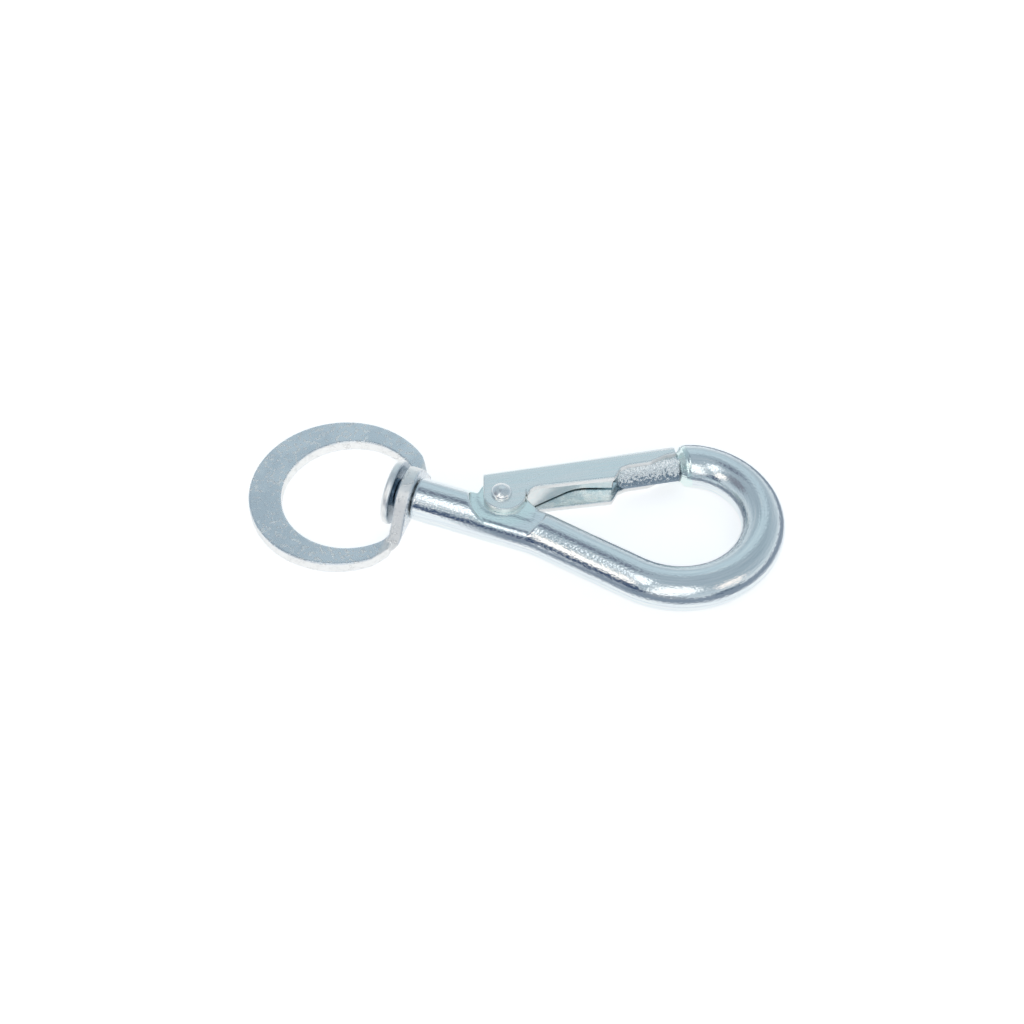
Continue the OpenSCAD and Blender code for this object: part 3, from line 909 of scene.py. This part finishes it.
# %% Gate
FLANGE_GAP, SLOT_GAP = 0.05, 0.15
GATE_BEND = 1.8  # outside of the folds
GATE_HALF = EAR_HALF + FLANGE_GAP + GATE_T
GATE_CELL = 0.16


def channel(p, shrink):
    """The channel's outside, or its inside when shrunk by the sheet's thickness."""
    return rounded_corner(
        p[:, 1] - (BACK_H - shrink), np.abs(p[:, 2]) - (GATE_HALF - shrink), GATE_BEND - shrink)


def gate_sheet(p):
    """The sheet folded to a channel, before it is cut to its outline."""
    return np.maximum(channel(p, 0), -channel(p, GATE_T))


def gate_distance(p):
    """The folded gate, in its own frame."""
    d = soft_max(gate_sheet(p), polygon_distance(p[:, :2], FLANGE), 0.22)
    slot = np.maximum(TIP_X - 1.4 - p[:, 0], np.abs(p[:, 2]) - TENON_R - SLOT_GAP)
    slot = np.maximum(slot, BACK_H - GATE_T - GATE_BEND - p[:, 1])
    return soft_max(d, -slot, 0.18)


gate, gate_points = make_piece(
    "gate_channel", gate_distance, (-4.5, -5, -5), (35, 7, 5), GATE_CELL, gate_to_world)
store(gate, "gate_place", gate_points)
store(gate, "edge", np.clip((-gate_sheet(gate_points) - 0.1) / 0.2, 0, 1))
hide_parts("gate")
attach(gate, "gate_body")

# %% [markdown]
# The rivet is a soft steel pin, closed at both ends into low domes by a spinning tool. It is the
# same on both sides, so its height is measured from whichever flange is nearer.

# %% Rivet
PIN_R = 1.5
RIVET_R, RIVET_RIM, RIVET_DOME = 1.9, 0.5, 0.8
RIVET_CELL = 0.11


def rivet_distance(p):
    """The pin and its two domed heads."""
    radius = np.hypot(p[:, 0], p[:, 1])
    w = np.abs(p[:, 2]) - GATE_HALF
    ball_r = (RIVET_R ** 2 + RIVET_DOME ** 2) / (2 * RIVET_DOME)
    dome = np.hypot(radius, w - RIVET_RIM - RIVET_DOME + ball_r) - ball_r
    head = soft_max(soft_max(radius - RIVET_R, dome, 0.3), -w, 0.05)
    shaft = np.maximum(radius - PIN_R, w - 0.3)
    return np.minimum(head, shaft)


rivet, _ = make_piece(
    "rivet_domes", rivet_distance, (-2.6, -2.6, -6), (2.6, 2.6, 6), RIVET_CELL, gate_to_world)
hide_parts("gate_rivet")
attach(rivet, "gate_body")

# %% [markdown]
# A strip of spring steel sits in a slot of the ear and bears on the inside of the gate's back. It
# is a straight root, a soft crest and a straight tip, each tangent to the next. It is made a
# little wider than in the frame, so that its edge shows as a thin line along the lower flange.

# %% Leaf spring
LEAF_T, LEAF_W = 0.6, 5.2
LEAF_SEAT, CREST_GAP = 1.0, 0.4  # its depth in the ear, and its gap to the back
CREST_X, CREST_R = 15.5, 9.0
TIP_SLOPE = 10.0  # in degrees
LEAF_CELL = 0.12

leaf_root = np.array([CAM_R - LEAF_SEAT, 0.2])
crest_c = np.array([CREST_X, BACK_H - GATE_T - CREST_GAP - LEAF_T / 2 - CREST_R])
root_off = leaf_root - crest_c
root_slope = math.degrees(math.atan2(root_off[1], root_off[0])) - 180 \
    + math.degrees(math.asin(CREST_R / np.hypot(*root_off)))
root_len = math.sqrt(root_off @ root_off - CREST_R ** 2)
fall = crest_c + CREST_R * left(-TIP_SLOPE)
tip_len = (TIP_X - 0.7 - fall[0]) / math.cos(math.radians(TIP_SLOPE))
LEAF_PATH = [
    (line_path, (leaf_root, root_slope, root_len)),
    (arc_path, (crest_c, CREST_R, 90 + root_slope, -TIP_SLOPE - root_slope)),
    (line_path, (fall, -TIP_SLOPE, tip_len)),
]


def leaf_distance(p):
    """The strip, swept along its path in the gate's frame."""
    return soft_max(path_distance(p[:, :2], LEAF_PATH) - LEAF_T / 2, np.abs(p[:, 2]) - LEAF_W / 2, 0.15)


leaf, leaf_points = make_piece(
    "spring_leaf", leaf_distance, (2, -1.5, -3), (23, 5, 3), LEAF_CELL, gate_to_world)
store(leaf, "gate_place", leaf_points)
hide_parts("gate_spring")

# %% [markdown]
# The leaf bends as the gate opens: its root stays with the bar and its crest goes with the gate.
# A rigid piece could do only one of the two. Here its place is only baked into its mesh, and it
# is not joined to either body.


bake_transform(leaf)
print("the leaf bends over %.1f mm" % (CREST_X - 1 - CAM_R + 0.2))

# %% [markdown]
# Bright zinc is a thin bluish-white plating. It takes on the steel under it: the drawn bar has
# fine streaks along its length, the rolled plate is satin with small bright specks, and a pressed
# or turned place is grainy. One recipe makes them all: a metal shader whose roughness, colour and
# bump come from noise, with the scale and stretch set for each piece.

# %% Finish helpers
def noise(tree, vector, scale, detail, roughness):
    made = node(tree, "ShaderNodeTexNoise")
    link(tree, vector, made.inputs["Vector"])
    for name, value in (("Scale", scale), ("Detail", detail), ("Roughness", roughness)):
        made.inputs[name].default_value = value
    return made.outputs["Fac"]


def stretched(tree, vector, factors):
    made = node(tree, "ShaderNodeMapping")
    link(tree, vector, made.inputs["Vector"])
    made.inputs["Scale"].default_value = factors
    return made.outputs["Vector"]


def object_place(tree):
    """The frame's own x, y and z, in mm."""
    return stretched(tree, node(tree, "ShaderNodeTexCoord").outputs["Object"], (1000, 1000, 1000))


def kept_place(tree, name):
    """The three numbers that a mesh keeps under this name."""
    return node(tree, "ShaderNodeAttribute", attribute_name=name).outputs["Vector"]


def bump(tree, height, strength, distance_mm, below=None):
    """Bumps of a height in mm, on top of those below."""
    made = node(tree, "ShaderNodeBump")
    link(tree, height, made.inputs["Height"])
    made.inputs["Strength"].default_value = strength
    made.inputs["Distance"].default_value = distance_mm * MM
    if below is not None:
        link(tree, below, made.inputs["Normal"])
    return made.outputs["Normal"]


def band(tree, value, low, high, soft, span=100.0):
    """1 where a length in mm lies between low and high, with soft ends."""
    scaled = plus(tree, math_node(tree, "DIVIDE", value, span), 0.5)
    places = [(low - soft) / span + 0.5, low / span + 0.5, high / span + 0.5, (high + soft) / span + 0.5]
    return ramp(tree, scaled, list(zip(places, (grey(0), grey(1), grey(1), grey(0)))))


def start_metal(name):
    material = bpy.data.materials.new(name)
    material.use_nodes = True
    tree = material.node_tree
    shader = tree.nodes["Principled BSDF"]
    shader.inputs["Metallic"].default_value = 1.0
    return material, tree, shader


def finish_metal(shader, tree, colour, roughness, normal):
    link(tree, colour, shader.inputs["Base Color"])
    link(tree, roughness, shader.inputs["Roughness"])
    link(tree, normal, shader.inputs["Normal"])


def give(piece, material):
    """Puts the material on the piece."""
    piece.data.materials.append(material)
    print("%s: %s, %d nodes" % (piece.name, material.name, len(material.node_tree.nodes)))

# %% [markdown]
# Plated steel is never one colour. The base is a cool light grey. Worn and cut places are whiter,
# and pressed ones lean to teal. The darkest colours are painted shade, not plating: a dull teal
# for the inside of the gate's lower flange, and a navy for the gap at the neck and the tenon's
# lower side. The tenon's upper side is painted a cool white, as painted light.

# %% Zinc colours
ZINC = (0.86, 0.90, 0.93)
ZINC_DULL = (0.76, 0.81, 0.85)
ZINC_PALE = (0.90, 0.97, 0.97)
ZINC_TEAL = (0.86, 0.99, 0.97)
# painted shade, for the inside of the gate's lower flange
PAINTED_SHADE_TEAL = (0.50, 0.66, 0.72)
ZINC_WHITE = (0.99, 0.985, 0.97)
# painted light, the lit end of the tenon's colour
PAINTED_LIT_COOL = (0.94, 0.98, 0.99)
# painted shade, for the gap at the neck and the tenon's lower side
PAINTED_SHADE_NAVY = (0.22, 0.30, 0.38)
print("zinc, from dull to white:", ZINC_DULL, ZINC, ZINC_WHITE)

# %% [markdown]
# The bar's finish has six zones. The round bar is drawn: streaks run along it and break up at a
# fine grain. The pressed ear and the nose's cone are flatter, with a greenish cast. The riveted
# head is matt from the hammering. The neck behind it is painted navy, as painted shade in the
# narrow gap between the head and the eye. The tenon was turned and struck, so it is rough and
# sparkles, and light is painted on it too: it is paler towards its upper side and navy, as painted
# shade, on its lower side. Each zone is a soft mask, worked out from the places that the mesh
# keeps, so no seam shows where one ends.

# %% Bar zones
def bar_zones(tree, along, out, rise, off_axis):
    """Masks of the tenon, its cone and the ear, from a place in the gate's frame."""
    on_tenon = times(tree, band(tree, along, TIP_X - 1, SHOULDER_X - 1.5, 0.4),
                     band(tree, off_axis, -3.4, 3.4, 0.5))
    on_cone = times(tree, band(tree, along, SHOULDER_X - 1.4, SHOULDER_X + 0.2, 0.4),
                    band(tree, off_axis, -4.2, 4.2, 0.3))
    from_rivet = math_node(tree, "SQRT", plus(tree, times(tree, along, along), times(tree, out, out)))
    on_ear = times(tree, band(tree, from_rivet, -1, 5.6, 2.2), band(tree, rise, -3.1, 3.1, 0.4))
    return on_tenon, on_cone, on_ear


def neck_zones(tree):
    """Masks of the head and of the gap behind it, where shade is painted, by how far they lie past the
    shoulder.
    """
    past = split(tree, kept_place(tree, "hook_place"))[0]
    return band(tree, past, -12, -4.0, 0.3), band(tree, past, -3.7, -0.3, 0.25)

# %% Bar finish
def bar_colour(tree, streaks, blotches, on_cone, on_ear):
    """The drawn bar's colour, turning teal at the ear and the cone, with navy painted shade in the neck's
    gap.
    """
    on_head, painted_gap_shade = neck_zones(tree)
    colour = ramp(tree, streaks, [(0.30, ZINC_DULL), (0.52, ZINC), (0.75, ZINC_WHITE)])
    # The last pair paints navy shade into the gap at the neck.
    for share, other in (
            (times(tree, blotches, 0.30), ZINC_TEAL), (times(tree, on_ear, 0.85), ZINC_TEAL),
            (on_cone, ZINC_TEAL), (on_head, ZINC_WHITE), (painted_gap_shade, PAINTED_SHADE_NAVY)):
        colour = mix_colour(tree, share, colour, other)
    return colour, on_head


def bar_finish():
    material, tree, shader = start_metal("zinc_bar")
    flow = kept_place(tree, "flow")
    place = object_place(tree)
    streaks = noise(tree, stretched(tree, flow, (0.10, 2.2, 0)), 1.0, 4, 0.65)
    grain = noise(tree, stretched(tree, flow, (1.8, 3.0, 1)), 1.0, 1.0, 0.5)
    blotches = noise(tree, place, 0.16, 2, 0.5)
    struck_grain = noise(tree, place, 2.2, 2.0, 0.7)
    along, out, rise = split(tree, kept_place(tree, "gate_place"))
    off_axis = math_node(tree, "SUBTRACT", out, TENON_RISE)
    on_tenon, on_cone, on_ear = bar_zones(tree, along, out, rise, off_axis)

    colour, on_head = bar_colour(tree, streaks, blotches, on_cone, on_ear)
    # Painted light: the tenon is paler towards its upper side and navy painted shade below, broken by
    # grain.
    painted_light_slope = plus(tree, times(tree, off_axis, 0.10), times(tree, rise, 0.10))
    painted_light_and_grain = plus(tree, painted_light_slope, struck_grain)
    tenon_painted_light = ramp(tree, painted_light_and_grain, [(0.31, PAINTED_SHADE_NAVY), (0.45, PAINTED_LIT_COOL)])
    colour = mix_colour(tree, on_tenon, colour, tenon_painted_light)

    smooth = ramp(tree, grain, [(0.25, grey(0.10)), (0.80, grey(0.20))])
    rough = ramp(tree, struck_grain, [(0.30, grey(0.16)), (0.70, grey(0.30))])
    roughness = mix_colour(tree, on_tenon, smooth, rough)
    roughness = mix_colour(tree, on_head, roughness, grey(0.36))

    drawn = bump(tree, streaks, 0.35, 0.03)
    fine = bump(tree, grain, 0.80, 0.042, drawn)
    struck = plus(tree, struck_grain, times(tree, off_axis, 1.5))
    normal = bump(tree, times(tree, struck, on_tenon), 1.0, 0.36, fine)
    finish_metal(shader, tree, colour, roughness, normal)
    return material


give(hook, bar_finish())

# %% [markdown]
# The eye's plate is rolled and tumbled: a flat satin blue-grey, with small bright specks where
# parts knocked together in the barrel. Its sheared edges are whiter and rougher than its faces.

# %% Plate finish
def edge_finish(tree, colour, roughness):
    """Turns the colour and roughness of a sheet to those of its cut edges."""
    edge = node(tree, "ShaderNodeAttribute", attribute_name="edge").outputs["Fac"]
    return mix_colour(tree, edge, colour, ZINC_WHITE), mix_colour(tree, edge, roughness, grey(0.48))


def plate_finish():
    material, tree, shader = start_metal("zinc_plate")
    place = object_place(tree)
    clouds = noise(tree, place, 0.20, 3, 0.6)
    grain = noise(tree, place, 3.2, 4, 0.7)
    specks = ramp(tree, noise(tree, place, 1.15, 2, 0.6), [(0.55, grey(0)), (0.62, grey(1))])
    specks = times(tree, specks, ramp(tree, clouds, [(0.30, grey(0.2)), (0.60, grey(1))]))
    colour = ramp(tree, clouds, [(0.38, ZINC_DULL), (0.62, ZINC)])
    colour = mix_colour(tree, specks, colour, ZINC_WHITE)
    roughness = ramp(tree, grain, [(0.30, grey(0.20)), (0.75, grey(0.36))])
    colour, roughness = edge_finish(tree, colour, roughness)
    normal = bump(tree, grain, 0.45, 0.04)
    normal = bump(tree, specks, 0.8, 0.18, normal)
    finish_metal(shader, tree, colour, roughness, normal)
    return material


give(eye, plate_finish())

# %% [markdown]
# The gate's sheet is smoother. Rolling left faint lines along it, and its cut edges are brighter.
# The lower flange is seen from its inner side, which lies in shade inside the channel; that shade
# is painted into its colour as a dull teal, in patches. The leaf has the same finish, a little
# rougher.

# %% Gate and leaf finish
def sheet_finish(name, rough_low, rough_high):
    material, tree, shader = start_metal(name)
    place = kept_place(tree, "gate_place")
    lines = noise(tree, stretched(tree, place, (0.12, 2.4, 2.4)), 1.0, 4, 0.6)
    grain = noise(tree, place, 3.5, 3, 0.6)
    colour = ramp(tree, lines, [(0.32, ZINC_PALE), (0.70, ZINC_WHITE)])
    roughness = ramp(tree, grain, [(0.30, grey(rough_low)), (0.75, grey(rough_high))])
    colour, roughness = edge_finish(tree, colour, roughness)
    # Painted shade: the inner side of the lower flange is darkened to a dull teal, in patches.
    painted_inner_shade = band(tree, split(tree, place)[2], -3.0, -2.6, 0.1)
    patches = ramp(tree, noise(tree, place, 0.45, 3, 0.6), [(0.35, grey(1)), (0.60, grey(0.25))])
    colour = mix_colour(tree, times(tree, painted_inner_shade, patches), colour, PAINTED_SHADE_TEAL)
    normal = bump(tree, lines, 0.25, 0.02)
    normal = bump(tree, grain, 0.20, 0.012, normal)
    finish_metal(shader, tree, colour, roughness, normal)
    return material


give(gate, sheet_finish("zinc_gate", 0.20, 0.32))
give(leaf, sheet_finish("spring_strip", 0.32, 0.46))

# %% [markdown]
# The rivet's domes are polished by the tool that closed them, with small dents.

# %% Rivet finish
def rivet_finish():
    material, tree, shader = start_metal("zinc_rivet")
    place = object_place(tree)
    dents = noise(tree, place, 0.9, 2, 0.5)
    grain = noise(tree, place, 4.0, 3, 0.6)
    colour = ramp(tree, dents, [(0.30, ZINC), (0.70, ZINC_WHITE)])
    roughness = ramp(tree, grain, [(0.30, grey(0.18)), (0.75, grey(0.30))])
    normal = bump(tree, dents, 0.25, 0.04)
    normal = bump(tree, grain, 0.2, 0.015, normal)
    finish_metal(shader, tree, colour, roughness, normal)
    return material


give(rivet, rivet_finish())
